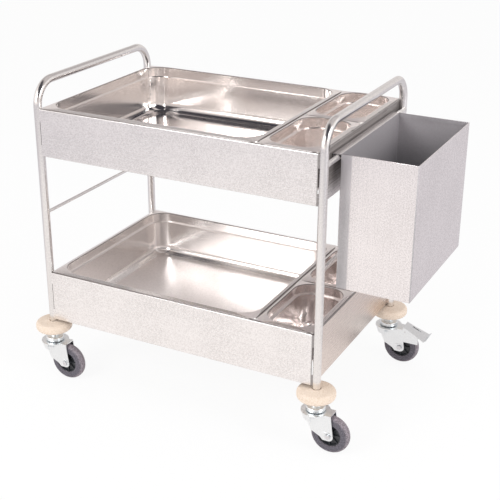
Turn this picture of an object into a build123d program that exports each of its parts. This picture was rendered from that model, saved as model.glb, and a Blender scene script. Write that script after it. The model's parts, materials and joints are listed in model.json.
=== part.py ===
from build123d import *
import os
from math import atan2, cos, degrees, radians, sin, sqrt

# Serving trolley: two tube end frames, two sheet aprons that carry drop-in pans, a waste bin hung on
# a rail at the right-hand end, and four swivel casters under round bumpers. Millimetres, +Z up.
# The origin is on the floor, midway between the four legs; -Y is the front and +X is the bin's end.

# End frames
tube_d = 25.0
tube_wall = 1.5
leg_pitch_x = 932.0
leg_pitch_y = 610.0
bend_r = 72.0
handle_rise = 75.0
brace_d = 10.0
brace_drop = 188.0

# Aprons
sheet = 1.2
sheet_bend_r = 1.5
front_setback = 3.5
side_overlap = 4.5
upper_apron_h = 148.0
lower_apron_h = 165.0
shelf_spacing = 535.0
apron_rise = 10.0
bottom_return = 10.0
ear_top = 40.0
ear_bottom = 36.0
slot_w = 3.0
weld_gap = 0.1
mitre_gap = 0.5
bar_drop = 16.0

# Pans
pan_wall = 1.0
rim_t = 1.2
rim_w = 13.0
rim_rise = 4.0
rim_lip = 4.0
rim_bend_r = 2.5
rim_corner_r = 22.0
pan_margin = 5.0
pan_gap = 1.5
bay_clearance = 2.5
seat_gap = 0.2
small_pan_w = 184.0
pan_depth = 145.0
shoulder_drop = 31.0
shoulder_step = 7.0
shoulder_fall = 1.5
large_corner_r = 66.0
small_corner_r = 56.0
floor_r = 30.0
pan_draft = 3.5

# Waste bin and its rail
bin_width = 220.0
bin_length = 455.0
bin_depth = 396.0
bin_sheet = 1.2
bin_drop = 20.0
bin_offset_y = -5.0
bin_hem = 12.0
bin_bend_r = 2.0
hook_depth = 18.0
rail_d = 16.0
rail_play = 1.0
rail_seat = 0.3
hook_play = 3.6
hook_clear = 3.2

# Casters
wheel_d = 120.0
tyre_w = 30.0
tyre_depth = 24.0
tread_flat = 4.0
core_web = 7.0
core_rib = 3.0
core_ribs = 8
core_flange_w = 22.0
hub_r = 13.0
bush_wall = 2.5
axle_d = 8.0
running_gap = 0.06
trail = 50.0
tyre_headroom = 5.0
side_room = 3.0
hub_room = 0.8
fork_plate = 3.0
crown_r = 44.0
skirt_h = 25.0
skirt_in = 8.0
cheek_top_back = 30.0
cheek_top_front = 56.0
cheek_waist_back = 5.0
cheek_waist_rise = 9.0
cheek_heel_in = 27.0
cheek_heel_drop = 5.0
cheek_toe_in = 17.0
cheek_boss_r = 15.0
bolt_head_af = 13.0
bolt_head_h = 5.3
bolt_tail = 2.0
race_r = 19.0
ball_d = 6.0
ball_count = 12
ball_gap = 0.3
groove_depth = 1.8
cup_r = 29.0
cup_h = 12.0
stem_d = 12.0
stem_head_r = 10.0
stem_head_h = 5.0
stem_head_gap = 0.3
stem_reach = 30.0
fit_gap = 0.05
socket_r = 14.0
socket_h = 24.0
socket_hex_h = 9.0
socket_hex_af = 24.0
bumper_r = 58.0
bumper_t = 30.0
bumper_edge_r = 12.0
bumper_dome = 2.0
bumper_seat = 4.0
bumper_hole_gap = 1.0
bumper_mouth_w = 1.6
bumper_mouth_h = 4.0
plug_h = 36.0

# Brake
brake_pin_d = 5.0
brake_pin_out = 10.0
brake_pin_drop = 5.0
ear_r = 7.0
pedal_plate = 2.5
pedal_side_gap = 0.4
pedal_back = 8.0
pedal_reach = 76.0
pedal_fall = 33.0
pedal_flare = 8.0
pedal_lift = 11.0
pedal_lip = 8.0
pedal_lip_rise = 7.0
guard_over = 2.0
guard_rise = 25.0
pedal_slot = 30.0
pedal_slot_w = 5.0
shoe_gap = 4.2
shoe_along = 20.0
shoe_w = 9.0

# Heights that follow from the stack of parts above the floor
axle_z = wheel_d / 2
crown_z = wheel_d + tyre_headroom
crown_top_z = crown_z + fork_plate
race_gap = 2 * (ball_d / 2 + ball_gap - groove_depth)
cup_z = crown_top_z + race_gap
cup_top_z = cup_z + cup_h
bumper_z = cup_top_z + socket_h
bumper_top_z = bumper_z + bumper_t
leg_z = bumper_z + bumper_seat
lower_top_z = bumper_top_z + apron_rise + lower_apron_h
upper_top_z = lower_top_z + shelf_spacing
handle_z = upper_top_z + handle_rise
brace_z = upper_top_z - upper_apron_h - brace_drop

# Plan distances from the middle of the trolley
tube_r = tube_d / 2
half_x = leg_pitch_x / 2
half_y = leg_pitch_y / 2
front_face = half_y + tube_r - front_setback
side_face = half_x - tube_r + side_overlap
pan_edge_x = side_face - sheet - pan_margin
pan_edge_y = front_face - sheet - pan_margin
ledge_w = sheet + pan_margin + rim_w - pan_wall - bay_clearance
split_x = pan_edge_x - small_pan_w - pan_gap / 2
bar_w = 2 * (rim_w - pan_wall - bay_clearance) + pan_gap
legs = {
    "front_left": (-half_x, -half_y),
    "front_right": (half_x, -half_y),
    "back_left": (-half_x, half_y),
    "back_right": (half_x, half_y),
}

nodes = {}


def upright(radius, bottom, top, x=0.0, y=0.0):
    """A vertical cylinder between two heights."""
    return Pos(x, y, (bottom + top) / 2) * Cylinder(radius, top - bottom)


def block(low, high):
    """A box between two corners."""
    centre = [(a + b) / 2 for a, b in zip(low, high)]
    return Pos(*centre) * Box(*[b - a for a, b in zip(low, high)])


def across(radius, near, far, x, z):
    """A cylinder along Y."""
    return Pos(x, (near + far) / 2, z) * Rot(90, 0, 0) * Cylinder(radius, far - near)


def plate_along_y(points, near, far):
    """A plate of an X-Z outline, between two Y values."""
    face = make_face(Polyline(*[(x, near, z) for x, z in points], close=True))
    return extrude(face, far - near, dir=(0, 1, 0))


def end_frame(x):
    """One tube bent into an upside-down U: front leg, handle bar and back leg."""
    path = FilletPolyline(
        (x, -half_y, leg_z),
        (x, -half_y, handle_z),
        (x, half_y, handle_z),
        (x, half_y, leg_z),
        radius=bend_r,
    )
    ring = Circle(tube_r) - Circle(tube_r - tube_wall)
    return sweep(Plane(path @ 0, z_dir=path % 0) * ring, path=path)


def cross_rod(diameter, x, z, leg_x):
    """A round bar from the front leg to the back leg, its ends shaped to the tubes."""
    reach = half_y - tube_r / 2
    rod = across(diameter / 2, -reach, reach, x, z)
    for side in (-1, 1):
        rod -= upright(tube_r + weld_gap, z - diameter, z + diameter, leg_x, side * half_y)
    return rod


def fold_profile(height, top_w, bottom_w):
    """The section of a panel with its top and bottom edges folded inward; X is inward, Y is up."""
    face = make_face(
        Polyline(
            (0, 0),
            (bottom_w, 0),
            (bottom_w, sheet),
            (sheet, sheet),
            (sheet, height - sheet),
            (top_w, height - sheet),
            (top_w, height),
            (0, height),
            close=True,
        )
    )
    inner = [v for v in face.vertices() if sheet / 2 < v.X < 3 * sheet / 2]
    face = fillet(inner, sheet_bend_r)
    outer = [v for v in face.vertices() if v.X < sheet / 2]
    return fillet(outer, sheet_bend_r + sheet)


def apron_panel(half_length, face_at, top_z, height, turn):
    """A folded panel, made as the front one and turned about Z, with ears that reach the legs."""
    bottom_z = top_z - height
    plane = Plane((-half_length, -face_at, bottom_z), x_dir=(0, 1, 0), z_dir=(1, 0, 0))
    panel = extrude(plane * fold_profile(height, ledge_w, bottom_return), 2 * half_length)
    panel = Rot(0, 0, turn) * panel
    for x, y in legs.values():
        panel -= upright(tube_r + weld_gap, bottom_z - sheet, top_z + sheet, x, y)
        panel -= upright(tube_r + slot_w, bottom_z + ear_bottom, top_z - ear_top, x, y)
    return panel


def apron(prefix, top_z, height):
    """The four panels, divider bar and cross bar of one shelf."""
    long_half = half_x - sqrt(tube_r**2 - (tube_r - front_setback) ** 2) / 2
    short_half = front_face - ledge_w - mitre_gap
    nodes[prefix + "_front_panel"] = apron_panel(long_half, front_face, top_z, height, 0)
    nodes[prefix + "_back_panel"] = apron_panel(long_half, front_face, top_z, height, 180)
    nodes[prefix + "_left_panel"] = apron_panel(short_half, side_face, top_z, height, -90)
    nodes[prefix + "_right_panel"] = apron_panel(short_half, side_face, top_z, height, 90)
    bar_end = front_face - ledge_w
    low_z, web_z = top_z - bar_drop, top_z - sheet
    left, right = split_x - bar_w / 2, split_x + bar_w / 2
    divider = block((left, -bar_end, low_z), (right, bar_end, top_z))
    divider -= block((left + sheet, -bar_end, low_z), (right - sheet, bar_end, web_z))
    nodes[prefix + "_divider_bar"] = divider
    cross_end, half_w = side_face - ledge_w, bar_w / 2
    cross = block((right, -half_w, low_z), (cross_end, half_w, top_z))
    cross -= block((right, sheet - half_w, low_z), (cross_end, half_w - sheet, web_z))
    nodes[prefix + "_cross_bar"] = cross


def basin(size_x, size_y, corner_r, drop, depth, bottom_r):
    """A stepped and tapered tub volume, mouth up at z 0: upper band, shallow shoulder, lower wall."""
    step, fall = shoulder_step, shoulder_fall
    mouth = RectangleRounded(size_x, size_y, corner_r)
    shoulder = extrude(mouth, fall, taper=degrees(atan2(step, fall)))
    inner = RectangleRounded(size_x - 2 * step, size_y - 2 * step, corner_r - step)
    lower = extrude(inner, depth - drop - fall, taper=pan_draft)
    lower = fillet(lower.faces().sort_by(Axis.Z)[-1].edges(), bottom_r)
    tub = extrude(mouth, drop) + Pos(0, 0, drop) * shoulder + Pos(0, 0, drop + fall) * lower
    return Rot(180, 0, 0) * tub


def rim_cover(size_x, size_y, top_x, top_y, top_r):
    """A low roof over the whole pan: an upright edge, then a slope up to the lip round the mouth."""
    edge = RectangleRounded(size_x, size_y, rim_corner_r)
    lip = RectangleRounded(top_x, top_y, top_r)
    slope = loft([edge, Pos(0, 0, rim_rise) * lip], ruled=True)
    return extrude(edge, rim_t) + Pos(0, 0, rim_t) * slope


def pan(low, high, top_z, corner_r):
    """A drawn pan: sloped rim on the ledges, stepped walls and a rounded floor."""
    size_x, size_y = high[0] - low[0], high[1] - low[1]
    open_x, open_y = size_x - 2 * rim_w, size_y - 2 * rim_w
    lip_x, lip_y = open_x + 2 * rim_lip, open_y + 2 * rim_lip
    cover = rim_cover(size_x, size_y, lip_x, lip_y, corner_r + rim_lip)
    body = cover - Pos(0, 0, -rim_t) * cover
    lip_z, wall = rim_t + rim_rise, pan_wall
    deep, skin = pan_depth + rim_rise, 2 * wall
    shell = basin(open_x + skin, open_y + skin, corner_r + wall, shoulder_drop + wall, deep, floor_r + wall)
    body += Pos(0, 0, lip_z) * shell
    body -= Pos(0, 0, lip_z) * basin(open_x, open_y, corner_r, shoulder_drop, deep - wall, floor_r)
    lip = body.faces().sort_by(Axis.Z)[-1]
    body = fillet(lip.inner_wires()[0].edges(), rim_bend_r)
    return Pos((low[0] + high[0]) / 2, (low[1] + high[1]) / 2, top_z + seat_gap) * body


def shelf_pans(prefix, top_z):
    """One large pan and two small ones, rim beside rim."""
    x, y, gap = pan_edge_x, pan_edge_y, pan_gap / 2
    left, right = split_x - gap, split_x + gap
    nodes[prefix + "_large_pan"] = pan((-x, -y), (left, y), top_z, large_corner_r)
    nodes[prefix + "_front_small_pan"] = pan((right, -y), (x, -gap), top_z, small_corner_r)
    nodes[prefix + "_back_small_pan"] = pan((right, gap), (x, y), top_z, small_corner_r)


def waste_bin(rail_x, top_z):
    """An open sheet box; its inner wall turns over the rail as a hook, the other walls are hemmed."""
    wall_x = rail_x + rail_d / 2 + rail_play
    far_x = wall_x + bin_width
    near_y, far_y = bin_offset_y - bin_length / 2, bin_offset_y + bin_length / 2
    floor_z = top_z - bin_depth
    t = bin_sheet
    box = block((wall_x, near_y, floor_z), (far_x, far_y, top_z))
    box = fillet(box.edges().filter_by(Axis.Z) + box.faces().sort_by(Axis.Z)[0].edges(), bin_bend_r + t)
    well = block((wall_x + t, near_y + t, floor_z + t), (far_x - t, far_y - t, top_z))
    box -= fillet(well.edges().filter_by(Axis.Z) + well.faces().sort_by(Axis.Z)[0].edges(), bin_bend_r)
    hem = block((wall_x + t, near_y + t, top_z - bin_hem), (far_x - t, far_y - t, top_z))
    hem -= block((wall_x, near_y + 2 * t, top_z - bin_hem), (far_x - 2 * t, far_y - 2 * t, top_z))
    hook_x = rail_x - rail_d / 2 - hook_play
    strip = block((hook_x, near_y, top_z - t), (wall_x + t, far_y, top_z))
    flange = block((hook_x - t, near_y, top_z - hook_depth), (hook_x, far_y, top_z))
    return box + hem + strip + flange


def tyre():
    """A rubber ring with a rounded tread, about the Y axis."""
    middle_r = (wheel_d - tyre_depth) / 2
    face = Pos(middle_r, 0) * Rectangle(tyre_depth, tyre_w)
    outer = [v for v in face.vertices() if v.X > middle_r]
    face = fillet(outer, (tyre_w - tread_flat) / 2)
    return revolve(face, Axis.Y)


def wheel_core():
    """A moulded core: hub, web, flange under the tyre and stiffening ribs, about the Y axis."""
    rim_r = wheel_d / 2 - tyre_depth
    bush_r = axle_d / 2 + running_gap + bush_wall
    hub_w = tyre_w / 2 + side_room - hub_room
    flange_in = rim_r - core_rib
    core = across(rim_r - fit_gap, -core_flange_w / 2, core_flange_w / 2, 0, 0)
    core -= across(flange_in, -core_flange_w / 2, -core_web / 2, 0, 0)
    core -= across(flange_in, core_web / 2, core_flange_w / 2, 0, 0)
    rib_half, rib_y = core_rib / 2, core_flange_w / 2 - core_rib
    rib = block((hub_r / 2, -rib_y, -rib_half), (flange_in + rib_half, rib_y, rib_half))
    for i in range(core_ribs):
        core += Rot(0, i * 360 / core_ribs, 0) * rib
    core += across(hub_r, -hub_w, hub_w, 0, 0)
    return core - across(bush_r + fit_gap, -hub_w, hub_w, 0, 0)


def wheel_bush():
    """The plain bearing sleeve between the core and the axle."""
    hub_w = tyre_w / 2 + side_room - hub_room
    bore_r = axle_d / 2 + running_gap
    return across(bore_r + bush_wall, -hub_w, hub_w, 0, 0) - across(bore_r, -hub_w, hub_w, 0, 0)


cheek_in = tyre_w / 2 + side_room
cheek_out = cheek_in + fork_plate
pin_x = cheek_top_front + brake_pin_out
pin_z = crown_top_z - brake_pin_drop


def cheek(near, far, braked):
    """One side of the fork, from the crown down to the axle boss; braked forks carry an ear for the pin."""
    outline = [
        (-cheek_top_back, crown_top_z),
        (cheek_top_front, crown_top_z),
        (trail + cheek_boss_r, axle_z),
        (trail, axle_z - cheek_boss_r),
        (trail - cheek_toe_in, axle_z - cheek_boss_r),
        (trail - cheek_heel_in, axle_z - cheek_heel_drop),
        (-cheek_waist_back, axle_z + cheek_waist_rise),
        (-cheek_top_back, crown_z),
    ]
    side = plate_along_y(outline, near, far) + across(cheek_boss_r, near, far, trail, axle_z)
    if braked:
        ear = [
            (cheek_top_front - ear_r, crown_top_z),
            (cheek_top_front, crown_top_z),
            (pin_x, pin_z + ear_r),
            (pin_x, pin_z - ear_r),
            (cheek_top_front, pin_z - 2 * ear_r),
        ]
        side += plate_along_y(ear, near, far) + across(ear_r, near, far, pin_x, pin_z)
    return side


def skirt():
    """The sloping wall pressed down round the back half of the crown."""
    section = Polyline(
        (crown_r, crown_top_z),
        (crown_r - skirt_in, crown_top_z - skirt_h),
        (crown_r - skirt_in - fork_plate, crown_top_z - skirt_h),
        (crown_r - fork_plate, crown_top_z - fork_plate),
        (crown_r - fork_plate, crown_top_z),
        close=True,
    )
    wall = revolve(Plane.XZ * make_face(section), Axis.Z)
    return wall - block((0, -crown_r, axle_z), (crown_r, crown_r, crown_top_z))


def fork(braked):
    """A pressed fork: round crown with the lower ball race, skirt, nose plate and two cheeks."""
    crown = upright(crown_r, crown_z, crown_top_z) + skirt()
    crown += block((0, -cheek_out, crown_z), (cheek_top_front, cheek_out, crown_top_z))
    crown += cheek(-cheek_out, -cheek_in, braked) + cheek(cheek_in, cheek_out, braked)
    crown -= Pos(0, 0, crown_top_z + race_gap / 2) * Torus(race_r, ball_d / 2 + ball_gap)
    crown -= upright(stem_d / 2 + running_gap, crown_z, crown_top_z)
    crown -= across(axle_d / 2 + fit_gap, -cheek_out, cheek_out, trail, axle_z)
    if braked:
        crown -= across(brake_pin_d / 2 + fit_gap, -cheek_out, cheek_out, pin_x, pin_z)
    return crown


def axle_bolt():
    """The hexagon axle bolt and its nut, clamped on the outside of the cheeks."""
    end = cheek_out + bolt_head_h + bolt_tail
    hexagon = extrude(RegularPolygon(bolt_head_af / 2, 6, major_radius=False), bolt_head_h)
    shank = across(axle_d / 2, -cheek_out, end, trail, axle_z)
    head = Pos(trail, -cheek_out, axle_z) * Rot(90, 0, 0) * hexagon
    nut = Pos(trail, cheek_out, axle_z) * Rot(-90, 0, 0) * hexagon
    nut -= across(axle_d / 2 + fit_gap, cheek_out, end, trail, axle_z)
    return Compound([(shank + head).solid(), nut.solid()])


def brake_pin():
    """The pin that carries the pedal, between the outer faces of the pedal's sides."""
    end = cheek_out + pedal_side_gap + pedal_plate
    return across(brake_pin_d / 2, -end, end, pin_x, pin_z)


def brake_pedal():
    """A pressed pedal: slotted plate with a raised lip, a guard each side of the tyre, and a shoe."""
    in_y = cheek_out + pedal_side_gap
    out_y = in_y + pedal_plate
    wide = out_y + pedal_flare
    start_x, start_z = pin_x - pedal_back, crown_top_z + pedal_lift
    end_x, end_z = start_x + pedal_reach, start_z - pedal_fall
    tip_x, tip_z = end_x + pedal_lip, end_z + pedal_lip_rise
    plate = plate_along_y(
        [
            (start_x, start_z),
            (end_x, end_z),
            (tip_x, tip_z),
            (tip_x, tip_z - pedal_plate),
            (end_x, end_z - pedal_plate),
            (start_x, start_z - pedal_plate),
        ],
        -wide,
        wide,
    )
    flare_x = pin_x + 2 * ear_r
    shape = Polyline(
        (start_x, -out_y),
        (flare_x, -out_y),
        (end_x, -wide),
        (tip_x, -wide),
        (tip_x, wide),
        (end_x, wide),
        (flare_x, out_y),
        (start_x, out_y),
        close=True,
    )
    pedal = plate & (Pos(0, 0, axle_z) * extrude(make_face(shape), wheel_d))
    slot_near = shoe_along / 2 + pedal_plate
    pedal -= block((flare_x, slot_near, axle_z), (flare_x + pedal_slot, slot_near + pedal_slot_w, start_z))

    def plate_middle(x):
        return start_z - pedal_plate / 2 - pedal_fall * (x - start_x) / pedal_reach

    guard_x, guard_z = trail + wheel_d / 2 + guard_over, axle_z + guard_rise
    guard = [
        (start_x, plate_middle(start_x)),
        (guard_x, plate_middle(guard_x)),
        (guard_x, guard_z),
        (start_x, guard_z),
    ]
    pedal += plate_along_y(guard, -out_y, -in_y) + plate_along_y(guard, in_y, out_y)
    shoe_at = (wheel_d / 2 + shoe_gap) * sqrt(0.5)
    left_x, right_x = trail + shoe_at - shoe_w / 2, trail + shoe_at + shoe_w / 2
    shoe = [
        (left_x, plate_middle(left_x)),
        (right_x, plate_middle(right_x)),
        (right_x, axle_z + shoe_at - shoe_w / 2),
        (left_x, axle_z + shoe_at + shoe_w / 2),
    ]
    pedal += plate_along_y(shoe, -shoe_along / 2, shoe_along / 2)
    return pedal - across(brake_pin_d / 2 + running_gap, -out_y, out_y, pin_x, pin_z)


def stem():
    """The king pin: retaining head under the crown, shank through the race, socket and plug."""
    head_top = crown_z - stem_head_gap
    head_z = head_top - stem_head_h
    return upright(stem_head_r, head_z, head_top) + upright(stem_d / 2, head_z, leg_z + stem_reach)


def top_cup():
    """The fixed half of the ball race."""
    cup = upright(cup_r, cup_z, cup_top_z)
    cup = fillet(cup.faces().sort_by(Axis.Z)[-1].edges(), cup_h / 3)
    cup -= Pos(0, 0, crown_top_z + race_gap / 2) * Torus(race_r, ball_d / 2 + ball_gap)
    return cup - upright(stem_d / 2 + fit_gap, cup_z, cup_top_z)


def balls():
    """The ring of balls in one swivel race."""
    angles = [radians(i * 360 / ball_count) for i in range(ball_count)]
    z = crown_top_z + race_gap / 2
    return [Pos(race_r * cos(a), race_r * sin(a), z) * Sphere(ball_d / 2) for a in angles]


def socket():
    """A round spacer with a hexagon top that clamps the bumper against the leg."""
    hexagon = extrude(RegularPolygon(socket_hex_af / 2, 6, major_radius=False), socket_hex_h)
    hex_z = bumper_z - socket_hex_h
    body = upright(socket_r, cup_top_z, hex_z) + Pos(0, 0, hex_z) * hexagon
    return body - upright(stem_d / 2 + fit_gap, cup_top_z, bumper_z)


def bumper():
    """A soft round buffer with rounded edges and a low dome; the leg's end sits in its stepped bore."""
    flat_r = bumper_r - bumper_edge_r
    curve_r = bumper_r - bumper_edge_r * (1 - sqrt(0.5))
    curve_h = bumper_edge_r * (1 - sqrt(0.5))
    bore_r = tube_r + fit_gap
    hole_r = stem_d / 2 + bumper_hole_gap
    mouth_r, mouth_z = bore_r + bumper_mouth_w, bumper_top_z + bumper_dome
    outline = [
        Line((hole_r, bumper_z), (flat_r, bumper_z)),
        ThreePointArc(
            (flat_r, bumper_z), (curve_r, bumper_z + curve_h), (bumper_r, bumper_z + bumper_edge_r)
        ),
        Line((bumper_r, bumper_z + bumper_edge_r), (bumper_r, bumper_top_z - bumper_edge_r)),
        ThreePointArc(
            (bumper_r, bumper_top_z - bumper_edge_r), (curve_r, bumper_top_z - curve_h), (flat_r, bumper_top_z)
        ),
        Line((flat_r, bumper_top_z), (mouth_r, mouth_z)),
        Line((mouth_r, mouth_z), (mouth_r, mouth_z - bumper_mouth_h)),
        Line((mouth_r, mouth_z - bumper_mouth_h), (bore_r, mouth_z - bumper_mouth_h)),
        Line((bore_r, mouth_z - bumper_mouth_h), (bore_r, leg_z)),
        Line((bore_r, leg_z), (hole_r, leg_z)),
        Line((hole_r, leg_z), (hole_r, bumper_z)),
    ]
    face = Plane.XZ * make_face(Curve() + outline)
    return revolve(face, Axis.Z)


def plug():
    """The insert that closes the leg and takes the caster stem."""
    return upright(tube_r - tube_wall - fit_gap, leg_z, leg_z + plug_h) - upright(
        stem_d / 2 + fit_gap, leg_z, leg_z + plug_h
    )


def at_each_leg(shapes):
    """Copies of one leg's solids at all four legs, as a group."""
    return Compound([(Pos(x, y, 0) * s).solid() for x, y in legs.values() for s in shapes])


nodes["left_end_frame"] = end_frame(-half_x)
nodes["right_end_frame"] = end_frame(half_x)
nodes["left_brace_rod"] = cross_rod(brace_d, -half_x, brace_z, -half_x)
nodes["right_brace_rod"] = cross_rod(brace_d, half_x, brace_z, half_x)

apron("upper", upper_top_z, upper_apron_h)
apron("lower", lower_top_z, lower_apron_h)
shelf_pans("upper", upper_top_z)
shelf_pans("lower", lower_top_z)

bin_top_z = upper_top_z - bin_drop
rail_x = side_face + hook_clear + bin_sheet + hook_play + rail_d / 2
rail_z = bin_top_z - bin_sheet - rail_seat - rail_d / 2
nodes["bin_rail"] = cross_rod(rail_d, rail_x, rail_z, half_x)
nodes["waste_bin"] = waste_bin(rail_x, bin_top_z)

nodes["leg_plugs"] = at_each_leg([plug()])
nodes["caster_stems"] = at_each_leg([stem()])
nodes["stem_sockets"] = at_each_leg([socket()])
nodes["caster_top_cups"] = at_each_leg([top_cup()])
nodes["swivel_balls"] = at_each_leg(balls())

for place, (x, y) in legs.items():
    here = Pos(x, y, 0)
    hub = Pos(x + trail, y, axle_z)
    braked = place.startswith("back")
    nodes[place + "_bumper"] = here * bumper()
    nodes[place + "_fork"] = here * fork(braked)
    nodes[place + "_axle_bolt"] = here * axle_bolt()
    nodes[place + "_tyre"] = hub * tyre()
    nodes[place + "_wheel_core"] = hub * wheel_core()
    nodes[place + "_wheel_bush"] = hub * wheel_bush()
    if braked:
        nodes[place + "_brake_pedal"] = here * brake_pedal()
        nodes[place + "_brake_pin"] = here * brake_pin()

os.makedirs("parts", exist_ok=True)
for name, shape in nodes.items():
    export_step(shape, f"parts/{name}.step")
print(len(nodes), "nodes, height", handle_z + tube_r)
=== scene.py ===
import json
import math

import bpy
import numpy as np
from mathutils import Matrix, Vector


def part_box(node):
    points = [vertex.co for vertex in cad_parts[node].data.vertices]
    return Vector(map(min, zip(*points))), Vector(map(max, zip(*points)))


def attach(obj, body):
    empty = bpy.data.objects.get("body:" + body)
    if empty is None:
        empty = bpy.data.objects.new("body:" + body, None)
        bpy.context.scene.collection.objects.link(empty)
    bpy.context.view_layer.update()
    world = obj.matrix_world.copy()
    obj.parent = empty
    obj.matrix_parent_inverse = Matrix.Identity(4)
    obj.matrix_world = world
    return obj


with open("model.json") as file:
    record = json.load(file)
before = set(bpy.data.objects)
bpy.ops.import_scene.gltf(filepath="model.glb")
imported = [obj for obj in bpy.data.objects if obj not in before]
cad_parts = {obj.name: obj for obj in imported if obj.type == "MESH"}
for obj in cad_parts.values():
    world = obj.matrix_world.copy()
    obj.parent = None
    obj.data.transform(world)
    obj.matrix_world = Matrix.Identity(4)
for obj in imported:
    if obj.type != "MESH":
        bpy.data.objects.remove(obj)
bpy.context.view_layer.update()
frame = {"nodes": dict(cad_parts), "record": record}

nodes = frame["nodes"]

# Lengths are in metres, angles in radians, and colours are linear

# Camera, fitted to the edges of the trolley in a square picture
picture_px = 500
focal_px = 1056.92
sensor_mm = 36.0
camera_at = Vector((1.49402, -2.74758, 1.77031))
camera_yaw = 0.4716
camera_pitch = -0.4070
camera_roll = 0.0056
camera_reach = 100.0

# White paper on the floor: what the camera sees of it, and what the steel mirrors, where a pool of light
# is painted, bright round a middle point and dimmer away from it
white = (1.0, 1.0, 1.0, 1.0)
floor_half = 30.0
paper_white = (0.97, 0.97, 0.97, 1.0)
paper_glow = 0.90
light_pool_middle = (0.1, -1.2, 0.0)
light_pool_fade = (1.05, 2.2)
light_pool_bright = (0.97, 0.915, 0.89, 1.0)
light_pool_dim = (0.68, 0.64, 0.665, 1.0)

# The studio round it, as the steel mirrors it: a paper sweep, a grey patch of room and a dark ceiling
sweep_rise = (0.40, 0.56)
sweep_low = (0.80, 0.755, 0.74, 1.0)
sweep_high = (0.50, 0.462, 0.46, 1.0)
sweep_turn = (-0.2, 0.4)
sweep_front = (1.2, 1.11, 1.07, 1.0)
room_middle = (0.42, -0.27, 0.866)
room_edge = (0.46, 0.53)
room_grey = (0.62, 0.565, 0.55, 1.0)
ceiling_slant = 0.35
ceiling_rise = (0.58, 0.66)
ceiling_turn = 0.2
ceiling_back = (-0.09, -0.01)
ceiling_dark = (0.045, 0.042, 0.052, 1.0)
ambient = (0.75, 0.75, 0.75, 1.0)
trolley_middle = (0.0, 0.0, 0.5)

# Light goes back and forth many times between the steel walls of the pans and the bin
steel_bounces = 14

# Small pieces that the solids leave out: weld beads, pressed plates round the axles, the bin's hem
bead_r = 0.0014
bead_ripple = 0.15
bead_ripples = 18
bead_turn_steps = 108
bead_round_steps = 14
cheek_half = 0.021
boss_half = (0.017, 0.013)
boss_offset = (-0.005, 0.0005)
boss_power = 2.6
boss_hole_r = 0.0055
boss_t = 0.0009
boss_inward = (0.0, 0.0, 0.01, 0.04, 1.0, 1.0)
boss_rise = (0.0, 0.6, 0.9, 1.0, 1.0, 0.0)
boss_turn_steps = 72
hem_r = 0.0013
hem_sink = hem_r / 3
hem_bend_r = 0.002
hem_bend_steps = 9
hem_round_steps = 16

# Grain of the steel, and bloom of the rubber and plastic
noise_middle = 0.5
grain_detail = 4.0
grain_fray = 0.6
grain_bump = (0.05, 0.0002)
speckle_stretch = (260, 120, 260)
speckle_detail = 2.0
patch_scale = 6.0
grain_share = 0.2
speckle_share = 0.6
patch_share = 0.2
steel_contrast = (0.35, 0.65)
pit_scale = 900.0
pit_detail = 2.0
pit_bump = (0.15, 0.0002)
bloom_scale = 300.0
bloom_contrast = (0.3, 0.7)
bloom_gloss = 0.2

# Painted shade on the aprons, placed by the rims of the pans and by the end panels: dark lines in the
# joints round the rims, shade over the upper end panel behind the bin, and a warm shade on the lower end
# panel under the bin
# The colour of painted shade in joints and gaps, and of painted dark reflections along the pans' lips
painted_dark = (0.10, 0.075, 0.07, 1.0)
rim_front = -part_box("upper_large_pan")[0][1]
rim_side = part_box("upper_front_small_pan")[1][0]
joint_start = (-0.003, 0.0)
joint_fade = (0.0050, 0.0060)
joint_cover = 0.9
end_joint_cover = 0.75
web_edge = (0.005, 0.006)
panel_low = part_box("upper_right_panel")[0][2]
panel_rise = (panel_low - 0.02, panel_low + 0.06)
panel_cover = 0.85
# Warm painted shade on the lower end panel, under the bin
under_bin_shade = (0.89, 0.81, 0.75, 1.0)

# Painted shade between the pans' rims and a painted dark reflection along their lips; discolouring and
# wear of the pans
pan_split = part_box("upper_large_pan")[1][0]
small_pans = (pan_split - 0.005, pan_split)
shelf_split = (0.45, 0.55)
upper_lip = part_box("upper_large_pan")[1][2]
shelf_rise = upper_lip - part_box("lower_large_pan")[1][2]
# Width of the painted shade in the gaps between neighbouring rims
gap_shade = (0.0015, 0.0030)
gap_cover = 0.9
lip_depth = (0.004, 0.005)
lip_leaves_wall = (0.02, 0.2)
lip_meets_rim = (0.8, 0.95)
lip_cover = 0.85
floor_facing = (0.95, 0.995)
wall_facing = (0.85, 0.97)
pan_stain = (0.894, 0.869, 0.869, 1.0)
floor_stained = 0.6
lower_small_stained = 0.75
upper_small_spared = 0.45
floor_dulled = 0.04
lower_floor_dulled = 0.14
often_dulled = 0.08
scour_dulled = 0.065

# Painted shade inside the waste bin, darker further down; a painted reflection of the leg on its front;
# and a darker line down its outer bend
bin_low, bin_high = map(np.array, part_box("waste_bin"))
bin_middle = (bin_low + bin_high) / 2
inside_depth = (0.0, 0.02)
# Painted shade inside the bin: its colour near the top and further down
inside_shade_top = (0.42, 0.39, 0.415, 1.0)
inside_shade_deep = (0.17, 0.165, 0.185, 1.0)
inside_shade_depth = (0.03, 0.20)
inside_shade_cover = 0.8
# Painted reflection of the leg: a dark strip down the bin's front next to the rail end
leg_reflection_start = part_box("bin_rail")[1][0]
leg_reflection_width = (0.030, 0.037)
leg_reflection_facing = (0.5, 0.9)
leg_reflection_rise = (bin_high[2] - 0.09, bin_high[2] - 0.01)
leg_reflection_cover = 0.45
leg_reflection_top_cover = 0.35
# A darker line down the bin's outer front bend
bend_far = (bin_high[0] - 0.004, bin_high[0] - 0.002)
bend_near = (bin_low[1] + 0.002, bin_low[1] + 0.004)
bend_cover = 0.5

# Painted shade on the sides of the tyres
side_facing = (0.7, 1.0)
painted_side_shade = (0.45, 0.48, 0.52, 1.0)

# Sockets of a Mix node that is set to colours, by number because their names repeat
mix_factor = 0
mix_first = 6
mix_second = 7
mix_result = 2


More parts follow.
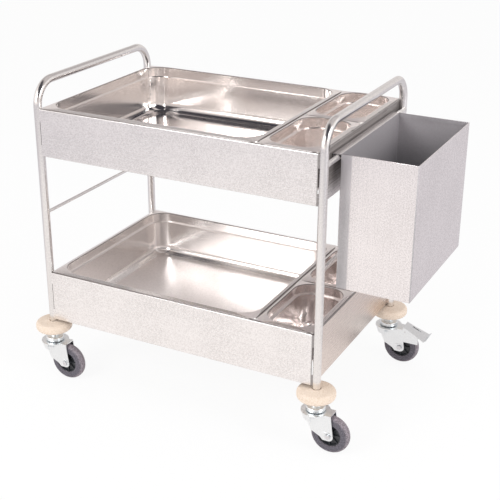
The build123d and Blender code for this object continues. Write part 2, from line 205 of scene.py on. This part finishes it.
class Field:
    """A number that varies over a surface: a shader socket whose operators add Math nodes."""

    def __init__(self, tree, socket):
        self.tree = tree
        self.socket = socket

    def math(self, operation, first, second=0.0):
        """Adds one Math node."""
        return self.tree.node("ShaderNodeMath", {"operation": operation}, {0: first, 1: second})

    def __add__(self, other):
        return self.math("ADD", self, other)

    def __radd__(self, other):
        return self.math("ADD", other, self)

    def __sub__(self, other):
        return self.math("SUBTRACT", self, other)

    def __rsub__(self, other):
        return self.math("SUBTRACT", other, self)

    def __mul__(self, other):
        return self.math("MULTIPLY", self, other)

    def __rmul__(self, other):
        return self.math("MULTIPLY", other, self)

    def __mod__(self, other):
        return self.math("FLOORED_MODULO", self, other)

    def __rmod__(self, other):
        return self.math("FLOORED_MODULO", other, self)

    def size(self):
        """The number without its sign."""
        return self.math("ABSOLUTE", self)

    def clamped(self):
        """The number kept between 0 and 1."""
        return self.tree.node("ShaderNodeClamp", {}, {"Value": self})

    def step(self, low, high):
        """Rises smoothly from 0 at low to 1 at high."""
        settings = {"interpolation_type": "SMOOTHSTEP"}
        sockets = {"Value": self, "From Min": low, "From Max": high}
        return self.tree.node("ShaderNodeMapRange", settings, sockets)


class Tree:
    """A node tree that is written as expressions."""

    def __init__(self, tree):
        self.tree = tree
        tree.nodes.clear()

    def node(self, kind, settings, sockets, out=0):
        """Adds one node: settings first, then the values or links of its sockets."""
        made = self.tree.nodes.new(kind)
        for name, value in settings.items():
            setattr(made, name, value)
        for key, value in sockets.items():
            self.feed(made.inputs[key], value)
        return Field(self, made.outputs[out]) if len(made.outputs) else None

    def feed(self, socket, value):
        """Links a field to a socket, or sets the socket's own value."""
        if isinstance(value, Field):
            self.tree.links.new(value.socket, socket)
        else:
            socket.default_value = value

    def place(self, x=1.0, y=1.0, z=1.0):
        """Object coordinates, stretched by one factor per axis."""
        at = self.node("ShaderNodeTexCoord", {}, {}, "Object")
        return self.node("ShaderNodeVectorMath", {"operation": "MULTIPLY"}, {0: at, 1: (x, y, z)})

    def axis(self, name, of="Object"):
        """One object coordinate as a number, or one part of a direction."""
        at = self.node("ShaderNodeTexCoord", {}, {}, of)
        return self.node("ShaderNodeSeparateXYZ", {}, {0: at}, name)

    def ray(self, kind):
        """1 for light paths of one kind, 0 for all others."""
        return self.node("ShaderNodeLightPath", {}, {}, kind)

    def noise(self, at, scale, detail=3.0, roughness=0.5):
        """Smooth noise between 0 and 1."""
        sockets = {"Vector": at, "Scale": scale, "Detail": detail, "Roughness": roughness}
        return self.node("ShaderNodeTexNoise", {}, sockets)

    def tint(self, factor, low, high):
        """A colour between two, by a number from 0 to 1."""
        sockets = {mix_factor: factor, mix_first: low, mix_second: high}
        return self.node("ShaderNodeMix", {"data_type": "RGBA"}, sockets, mix_result)

    def stained_and_shaded(self, clean, factor, stain_or_shade):
        """A colour times a darker colour, a discolouring or a painted shade, by a number from 0 to 1."""
        settings = {"data_type": "RGBA", "blend_type": "MULTIPLY"}
        sockets = {mix_factor: factor, mix_first: clean, mix_second: stain_or_shade}
        return self.node("ShaderNodeMix", settings, sockets, mix_result)

    def bump(self, height, strength, distance):
        """The surface's direction, tilted by a height."""
        sockets = {"Height": height, "Strength": strength, "Distance": distance}
        return self.node("ShaderNodeBump", {}, sockets)


def finish(name, paint):
    """A material whose Principled shader takes the sockets that paint returns."""
    material = bpy.data.materials.new(name)
    material.use_nodes = True
    tree = Tree(material.node_tree)
    shader = tree.node("ShaderNodeBsdfPrincipled", {}, paint(tree))
    tree.node("ShaderNodeOutputMaterial", {}, {"Surface": shader})
    return material


def brushed(dark, light, stretch, rough, spread, painted_shade=None, stains_and_shade=None, wear=None):
    """Steel with a fine grain.

    Noise stretched along the grain, a fine speckle and broad patches shift its colour, gloss and height a
    little. Discolouring and painted shade multiply its colour, wear makes it duller, and painted shade and
    painted reflections cover it.
    """
    def paint(tree):
        grain = tree.noise(tree.place(*stretch), 1.0, grain_detail, grain_fray)
        speckle = tree.noise(tree.place(*speckle_stretch), 1.0, speckle_detail)
        patches = tree.noise(tree.place(), patch_scale)
        mottle = speckle * speckle_share + grain * grain_share + patches * patch_share
        colour = tree.tint(mottle.step(*steel_contrast), dark, light)
        metal = 1.0
        if stains_and_shade:
            colour = tree.stained_and_shaded(colour, *stains_and_shade(tree))
        # Painted shade and painted reflections cover the colour here
        if painted_shade:
            cover, shade_colour = painted_shade(tree)
            colour = tree.tint(cover, colour, shade_colour)
            metal = 1.0 - cover
        dullness = rough + (grain - noise_middle) * spread + (patches - noise_middle) * spread
        return {
            "Base Color": colour,
            "Metallic": metal,
            "Roughness": dullness + wear(tree) if wear else dullness,
            "Normal": tree.bump(grain, *grain_bump),
        }
    return paint


def rubber(dark, light, rough, stains_and_shade=None):
    """Matt rubber or plastic: fine pits, and a bloom that shifts its colour and gloss in small spots."""
    def paint(tree):
        pits = tree.noise(tree.place(), pit_scale, pit_detail)
        bloom = tree.noise(tree.place(), bloom_scale)
        colour = tree.tint(bloom.step(*bloom_contrast), dark, light)
        if stains_and_shade:
            colour = tree.stained_and_shaded(colour, *stains_and_shade(tree))
        return {
            "Base Color": colour,
            "Roughness": rough + (bloom - noise_middle) * bloom_gloss,
            "Normal": tree.bump(pits, *pit_bump),
        }
    return paint


def on_upper_shelf(tree):
    """1 on the upper shelf, 0 on the lower one."""
    return tree.axis("Z").step(*shelf_split)


def on_small_pans(tree):
    """1 on the small pans, 0 on the large ones."""
    return tree.axis("X").step(*small_pans)


def on_floors(tree):
    """1 where a pan faces straight up, as its floor does."""
    return tree.axis("Z", "Normal").step(*floor_facing)


def apron_painted_shade(tree):
    """Painted shade: dark lines in the joint round the pans' rims, and shade over the upper end panel
    behind the bin, most at its top.
    """
    front = 0.0 - tree.axis("Y") - rim_front
    side = tree.axis("X") - rim_side
    # Painted shade in the joints round the rims, along the front and at the end
    joint = front.step(*joint_start) * (1.0 - front.step(*joint_fade))
    end_joint = side.step(*joint_start) * (1.0 - side.step(*joint_fade))
    # Painted shade over the upper end panel behind the bin
    panel = side.step(*web_edge) * tree.axis("Z").step(*panel_rise)
    cover = joint * joint_cover + end_joint * end_joint_cover + panel * panel_cover
    return cover.clamped(), painted_dark


def apron_under_bin_shade(tree):
    """Painted shade: the lower panel at the bin's end, under the bin, is tinted warmer and darker."""
    side = tree.axis("X") - rim_side
    return side.step(*web_edge) * (1.0 - on_upper_shelf(tree)), under_bin_shade


def pan_painted_shade(tree):
    """Painted shade between the rims of neighbouring pans, and a painted dark reflection along the lip of
    each mouth.
    """
    along = 1.0 - (tree.axis("X") - pan_split).size().step(*gap_shade)
    across = (1.0 - tree.axis("Y").size().step(*gap_shade)) * on_small_pans(tree)
    depth = (upper_lip - tree.axis("Z")) % shelf_rise
    up = tree.axis("Z", "Normal")
    # Painted dark reflection on the rounding where each mouth's lip meets its wall
    rounding = up.step(*lip_leaves_wall) * (1.0 - up.step(*lip_meets_rim))
    lip = rounding * (1.0 - depth.step(*lip_depth))
    cover = (along + across) * gap_cover + lip * lip_cover
    return cover.clamped(), painted_dark


def pan_stains(tree):
    """What the pans hold discolours their floors and the small pans, those of the lower shelf most."""
    small = on_small_pans(tree) * (lower_small_stained - on_upper_shelf(tree) * upper_small_spared)
    return (on_floors(tree) * floor_stained + small).clamped(), pan_stain


def pan_wear(tree):
    """Floors are scuffed, most on the lower shelf; the small pans and the lower pans are washed often; in
    the upper large pan the wall that faces the bin is scoured.
    """
    upper = on_upper_shelf(tree)
    often = 1.0 - upper * (1.0 - on_small_pans(tree))
    floors = on_floors(tree) * (floor_dulled + (1.0 - upper) * lower_floor_dulled)
    scoured = tree.axis("X", "Normal").step(*wall_facing) * (1.0 - often)
    return floors + often * often_dulled + scoured * scour_dulled


def bin_shade_and_bend_line(tree):
    """Painted shade inside the bin, darker further down; a painted reflection of the leg, a dark strip
    where its front passes the leg, strongest at the top; and a darker line down its outer bend.
    """
    facing_y = tree.axis("Y", "Normal")
    away_x = (tree.axis("X") - bin_middle[0]) * tree.axis("X", "Normal")
    away_y = (tree.axis("Y") - bin_middle[1]) * facing_y
    inside = (0.0 - away_x - away_y).step(*inside_depth)
    # Painted shade, darker further down inside the bin
    bin_shade_tone = tree.tint((bin_high[2] - tree.axis("Z")).step(*inside_shade_depth), inside_shade_top, inside_shade_deep)
    # Painted reflection of the leg on the bin's front
    front = (0.0 - facing_y).step(*leg_reflection_facing)
    strip = (1.0 - (tree.axis("X") - leg_reflection_start).step(*leg_reflection_width)) * front
    leg_reflection = strip * (leg_reflection_cover + leg_reflection_top_cover * tree.axis("Z").step(*leg_reflection_rise))
    bend = tree.axis("X").step(*bend_far) * (1.0 - tree.axis("Y").step(*bend_near))
    cover = inside * inside_shade_cover + (leg_reflection + bend * bend_cover) * (1.0 - inside)
    return cover.clamped(), bin_shade_tone


def tyre_side_shade(tree):
    """Painted shade: a tyre's sides, which face along the axle, are darkened, and its tread stays lighter.
    """
    return tree.axis("Y", "Normal").size().step(*side_facing), painted_side_shade


finishes = {
    "satin_tube": brushed(
        dark=(0.80, 0.793, 0.787, 1), light=(0.91, 0.902, 0.893, 1),
        stretch=(300, 300, 6), rough=0.22, spread=0.08,
    ),
    "apron_sheet": brushed(
        dark=(0.80, 0.785, 0.78, 1), light=(1.0, 0.985, 0.98, 1),
        stretch=(5, 5, 700), rough=0.28, spread=0.10,
        painted_shade=apron_painted_shade, stains_and_shade=apron_under_bin_shade,
    ),
    "pan_steel": brushed(
        dark=(0.885, 0.86, 0.845, 1), light=(0.985, 0.96, 0.945, 1),
        stretch=(90, 90, 90), rough=0.12, spread=0.03,
        painted_shade=pan_painted_shade, stains_and_shade=pan_stains, wear=pan_wear,
    ),
    "bin_sheet": brushed(
        dark=(0.78, 0.757, 0.76, 1), light=(0.975, 0.95, 0.953, 1),
        stretch=(500, 500, 5), rough=0.25, spread=0.06,
        painted_shade=bin_shade_and_bend_line,
    ),
    "fastener_steel": brushed(
        dark=(0.70, 0.71, 0.73, 1), light=(0.78, 0.79, 0.81, 1),
        stretch=(400, 400, 400), rough=0.32, spread=0.10,
    ),
    "zinc_plate": brushed(
        dark=(0.85, 0.89, 0.91, 1), light=(0.92, 0.96, 0.98, 1),
        stretch=(200, 200, 200), rough=0.36, spread=0.10,
    ),
    "bumper_rubber": rubber(dark=(0.76, 0.62, 0.49, 1), light=(0.91, 0.77, 0.66, 1), rough=0.6),
    "tyre_rubber": rubber(
        dark=(0.14, 0.118, 0.134, 1), light=(0.38, 0.333, 0.372, 1), rough=0.6,
        stains_and_shade=tyre_side_shade,
    ),
    "black_plastic": rubber(dark=(0.030, 0.034, 0.040, 1), light=(0.045, 0.050, 0.056, 1), rough=0.4),
    "bush_plastic": rubber(dark=(0.70, 0.69, 0.65, 1), light=(0.76, 0.75, 0.71, 1), rough=0.5),
}
slot_of = {row["node"]: row["material_slot"] for row in frame["record"]["subparts"]}
materials = {slot: finish(slot + "_finish", paint) for slot, paint in finishes.items()}
for name, piece in nodes.items():
    piece.data.materials.clear()
    piece.data.materials.append(materials[slot_of[name]])


def once_round(steps):
    """Equal steps of a full turn."""
    return np.linspace(0, 2 * math.pi, steps, endpoint=False)


def skin(name, grid, body, slot, capped=False):
    """A closed mesh over a grid of points: columns wrap round, rows wrap round too or end in flat caps."""
    rows, columns = grid.shape[:2]
    at = np.arange(rows * columns).reshape(rows, columns)
    across = np.roll(at, -1, 1)
    along = np.roll(at, -1, 0)
    faces = np.stack([at, across, np.roll(across, -1, 0), along], -1)
    faces = faces[: rows - 1 if capped else rows].reshape(-1, 4).tolist()
    if capped:
        faces += [at[0, ::-1].tolist(), at[-1].tolist()]
    mesh = bpy.data.meshes.new(name)
    mesh.from_pydata(grid.reshape(-1, 3).tolist(), [], faces)
    mesh.polygons.foreach_set("use_smooth", np.ones(len(faces), bool))
    mesh.materials.append(materials[slot])
    piece = bpy.data.objects.new(name, mesh)
    bpy.context.scene.collection.objects.link(piece)
    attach(piece, body)


def weld_beads(side):
    """Rippled rings where a brace rod meets its two legs.

    Round the rod's axis the angle gives the line in which the rod meets the leg's cylinder, and a second
    angle goes round the bead, whose radius rises and falls with the first.
    """
    rod_low, rod_high = map(np.array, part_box(side + "_brace_rod"))
    leg_low, leg_high = map(np.array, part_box(side + "_end_frame"))
    rod_r = (rod_high[2] - rod_low[2]) / 2
    tube_r = (leg_high[0] - leg_low[0]) / 2
    middle = (rod_low + rod_high) / 2
    leg_y = leg_high[1] - tube_r
    turn = once_round(bead_turn_steps)[:, None]
    round_bead = once_round(bead_round_steps)[None, :]
    radius = bead_r * (1 + bead_ripple * np.cos(bead_ripples * turn))
    out = rod_r + radius * np.cos(round_bead)
    x = out * np.cos(turn)
    y = leg_y - np.sqrt(tube_r**2 - (rod_r * np.cos(turn)) ** 2) + radius * np.sin(round_bead)
    z = out * np.sin(turn)
    for end, toward in (("front", -1), ("back", 1)):
        grid = np.stack([middle[0] + toward * x, toward * y, middle[2] + z], -1)
        skin(side + "_" + end + "_brace_weld", grid, "trolley_frame", "satin_tube")


def axle_bosses(leg):
    """Low pressed plates round the axle on both cheeks of a fork.

    The angle gives a rounded oblong by powers of its cosine and sine; the section goes from the outer foot
    over the rounded edge to the hole and back.
    """
    bolt_low, bolt_high = map(np.array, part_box(leg + "_axle_bolt"))
    fork_low, fork_high = map(np.array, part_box(leg + "_fork"))
    axle = (bolt_low + bolt_high) / 2
    fork_y = (fork_low[1] + fork_high[1]) / 2
    turn = once_round(boss_turn_steps)[None, :]
    cos = np.cos(turn)
    sin = np.sin(turn)
    rim_x = boss_half[0] * np.sign(cos) * np.abs(cos) ** (2 / boss_power)
    rim_z = boss_half[1] * np.sign(sin) * np.abs(sin) ** (2 / boss_power)
    inward = np.array(boss_inward)[:, None]
    rise = boss_t * np.array(boss_rise)[:, None]
    x = axle[0] + (1 - inward) * (boss_offset[0] + rim_x) + inward * boss_hole_r * cos
    z = axle[2] + (1 - inward) * (boss_offset[1] + rim_z) + inward * boss_hole_r * sin
    for side, toward in (("near", -1), ("far", 1)):
        y = np.broadcast_to(fork_y + toward * (cheek_half + rise), x.shape)
        grid = np.stack([x, y, z], -1)
        skin(leg + "_" + side + "_axle_boss", grid[:, ::-toward], leg + "_swivel", "zinc_plate")


def bin_hem():
    """The rounded top of the bin's hem, along its front, end and back walls.

    A circle is carried along a path of three straights and two quarter turns.
    """
    low, high = map(np.array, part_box("waste_bin"))
    start_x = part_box("bin_rail")[1][0] + hem_r
    bend_x = high[0] - hem_r - hem_bend_r
    front_y = low[1] + hem_r + hem_bend_r
    back_y = high[1] - hem_r - hem_bend_r
    quarter = np.linspace(0, math.pi / 2, hem_bend_steps)
    facing = np.concatenate([[0], quarter, math.pi / 2 + quarter, [math.pi]]) - math.pi / 2
    centre_x = np.concatenate([[start_x], np.full(2 * hem_bend_steps, bend_x), [start_x]])
    centre_y = np.repeat([front_y, back_y], hem_bend_steps + 1)
    round_hem = once_round(hem_round_steps)[None, :]
    out = hem_bend_r + hem_r * np.cos(round_hem)
    x = centre_x[:, None] + out * np.cos(facing)[:, None]
    y = centre_y[:, None] + out * np.sin(facing)[:, None]
    z = np.broadcast_to(high[2] - hem_sink - hem_r * np.sin(round_hem), x.shape)
    skin("waste_bin_hem", np.stack([x, y, z], -1), "waste_bin_body", "bin_sheet", capped=True)


for side in ("left", "right"):
    weld_beads(side)
for leg in ("front_left", "front_right", "back_left", "back_right"):
    axle_bosses(leg)
bin_hem()


def studio_floor():
    """A flat sheet under the wheels: white to the camera, with a painted pool of light in mirrors that
    dims with distance from a middle point, and with the soft shadow kept.
    """
    corners = floor_half * np.array([[-1, -1, 0], [1, -1, 0], [1, 1, 0], [-1, 1, 0]], float)
    mesh = bpy.data.meshes.new("studio_floor")
    mesh.from_pydata(corners.tolist(), [], [[0, 1, 2, 3]])
    floor = bpy.data.objects.new("studio_floor", mesh)
    bpy.context.scene.collection.objects.link(floor)
    material = bpy.data.materials.new("white_paper")
    material.use_nodes = True
    tree = Tree(material.node_tree)
    paper = tree.node("ShaderNodeBsdfDiffuse", {}, {"Color": paper_white})
    seen = tree.ray("Is Camera Ray")
    mirrored = tree.ray("Is Glossy Ray")
    distance = {"operation": "DISTANCE"}
    away = tree.node("ShaderNodeVectorMath", distance, {0: tree.place(), 1: light_pool_middle}, "Value")
    # Painted pool of light: the paper in mirrors dims away from a middle point
    in_mirrors = tree.tint(away.step(*light_pool_fade), light_pool_bright, light_pool_dim)
    glow = tree.node("ShaderNodeEmission", {}, {"Color": tree.tint(mirrored, white, in_mirrors)})
    sockets = {0: (seen + mirrored) * paper_glow, 1: paper, 2: glow}
    mixed = tree.node("ShaderNodeMixShader", {}, sockets)
    tree.node("ShaderNodeOutputMaterial", {}, {"Surface": mixed})
    mesh.materials.append(material)


def studio_world():
    """White to the camera and an even light to dull surfaces.

    Steel mirrors a paper sweep that is bright in front and dimmer high up behind, a round grey patch of
    the room above, and over both a dark ceiling, whose lower edge slants down to the right and which ends
    at the back.
    """
    world = bpy.data.worlds.new("studio_world")
    world.use_nodes = True
    bpy.context.scene.world = world
    tree = Tree(world.node_tree)
    direction = tree.node("ShaderNodeTexCoord", {}, {}, "Generated")
    across = tree.axis("X", "Generated")
    forward = 0.0 - tree.axis("Y", "Generated")
    height = tree.axis("Z", "Generated")
    behind = tree.tint(height.step(*sweep_rise), sweep_low, sweep_high)
    sweep = tree.tint(forward.step(*sweep_turn), behind, sweep_front)
    product = {"operation": "DOT_PRODUCT"}
    towards = tree.node("ShaderNodeVectorMath", product, {0: direction, 1: room_middle}, "Value")
    room = tree.tint(towards.step(*room_edge), sweep, room_grey)
    overhead = (height + across * ceiling_slant).step(*ceiling_rise)
    ceiling = overhead * (forward - across * ceiling_turn).step(*ceiling_back)
    in_mirrors = tree.tint(ceiling, room, ceiling_dark)
    plain = tree.tint(tree.ray("Is Camera Ray"), ambient, white)
    colour = tree.tint(tree.ray("Is Glossy Ray"), plain, in_mirrors)
    back = tree.node("ShaderNodeBackground", {}, {"Color": colour})
    tree.node("ShaderNodeOutputWorld", {}, {"Surface": back})


def lamp(name, at, aim, size, watts):
    """A square soft box at one point that faces another."""
    light = bpy.data.lights.new(name, "AREA")
    light.size = size
    light.energy = watts
    box = bpy.data.objects.new(name, light)
    box.location = at
    box.rotation_euler = (Vector(aim) - Vector(at)).to_track_quat("-Z", "Y").to_euler()
    bpy.context.scene.collection.objects.link(box)


def camera():
    """The camera's axes: forward from yaw and pitch, then right and up turned by the roll."""
    sin_yaw, cos_yaw = math.sin(camera_yaw), math.cos(camera_yaw)
    sin_pitch, cos_pitch = math.sin(camera_pitch), math.cos(camera_pitch)
    forward = Vector((-sin_yaw * cos_pitch, cos_yaw * cos_pitch, sin_pitch))
    level = Vector((cos_yaw, sin_yaw, 0))
    upright = level.cross(forward)
    right = level * math.cos(camera_roll) + upright * math.sin(camera_roll)
    up = upright * math.cos(camera_roll) - level * math.sin(camera_roll)
    turned = Matrix((right, up, -forward)).transposed().to_4x4()
    data = bpy.data.cameras.new("camera")
    data.sensor_width = sensor_mm
    data.lens = focal_px / picture_px * sensor_mm
    data.clip_end = camera_reach
    eye = bpy.data.objects.new("camera", data)
    eye.matrix_world = Matrix.Translation(camera_at) @ turned
    bpy.context.scene.collection.objects.link(eye)
    bpy.context.scene.camera = eye


studio_floor()
studio_world()
lamp("key", at=(-1.2, -3.4, 2.6), aim=trolley_middle, size=1.6, watts=60.0)
lamp("side", at=(3.2, -0.6, 2.4), aim=trolley_middle, size=1.6, watts=30.0)
lamp("low", at=(2.6, 0.5, 0.7), aim=(0.47, 0.33, 0.14), size=4.0, watts=12.0)
camera()
bpy.context.scene.view_settings.view_transform = "Standard"
bpy.context.scene.cycles.max_bounces = steel_bounces
bpy.context.scene.cycles.glossy_bounces = steel_bounces
